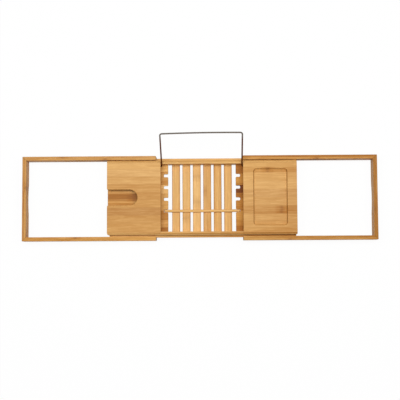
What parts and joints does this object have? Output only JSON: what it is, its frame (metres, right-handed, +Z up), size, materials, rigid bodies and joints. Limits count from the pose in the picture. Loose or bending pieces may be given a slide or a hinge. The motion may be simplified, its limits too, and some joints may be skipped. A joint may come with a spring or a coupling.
{
  "type": "bath caddy",
  "caption": "Extending bamboo tray across a bath, with wine glass slot, phone recess, slatted well, leaning wire book support and sliding end frames",
  "frame": {"origin": "On the surface that the caddy stands on, under the middle of its outline with the frames pulled out as in the picture and the book support leaning back", "axes": "+X along the caddy, from the wine glass end to the phone end; +Y from the bather's side to the back, where the book support leans; +Z up"},
  "size_m": [0.9398, 0.2774, 0.1116],
  "materials": {
    "rail_bamboo": "satin lacquer",
    "panel_bamboo": "satin lacquer",
    "base_bamboo": "satin lacquer",
    "slat_bamboo": "satin lacquer",
    "frame_bamboo": "satin lacquer",
    "rod_bamboo": "satin lacquer",
    "wire_steel": "satin",
    "grip_rubber": "matt"
  },
  "bodies": {
    "tray": {"back_rail": "rail_bamboo", "front_rail": "rail_bamboo", "left_top_panel": "panel_bamboo", "right_top_panel": "panel_bamboo", "left_base_board": "base_bamboo", "right_base_board": "base_bamboo", "left_divider": "base_bamboo", "right_divider": "base_bamboo", "slat_1": "slat_bamboo", "slat_2": "slat_bamboo", "slat_3": "slat_bamboo", "slat_4": "slat_bamboo", "slat_5": "slat_bamboo", "slat_6": "slat_bamboo"},
    "left_frame": {"left_back_arm": "frame_bamboo", "left_front_arm": "frame_bamboo", "left_end_board": "frame_bamboo", "left_back_grip": "grip_rubber", "left_front_grip": "grip_rubber"},
    "right_frame": {"right_back_arm": "frame_bamboo", "right_front_arm": "frame_bamboo", "right_end_board": "frame_bamboo", "right_back_grip": "grip_rubber", "right_front_grip": "grip_rubber"},
    "book_support": {"book_support_wire": "wire_steel"},
    "book_stop": {"book_stop_rod": "rod_bamboo"}
  },
  "joints": [
    {"name": "left_frame_slide", "type": "slide", "parent": "tray", "child": "left_frame", "axis": [-1, 0, 0], "range_m": [-0.12, 0.0488]},
    {"name": "right_frame_slide", "type": "slide", "parent": "tray", "child": "right_frame", "axis": [1, 0, 0], "range_m": [-0.1074, 0.0614]},
    {"name": "book_support_pivot", "type": "hinge", "parent": "tray", "child": "book_support", "pos_m": [0.0063, 0.05741, 0.0387], "axis": [1, 0, 0], "range_deg": [0, 145]},
    {"name": "book_stop_lift", "type": "slide", "parent": "tray", "child": "book_stop", "axis": [0, 0, 1], "range_m": [0, 0.03]}
  ]
}
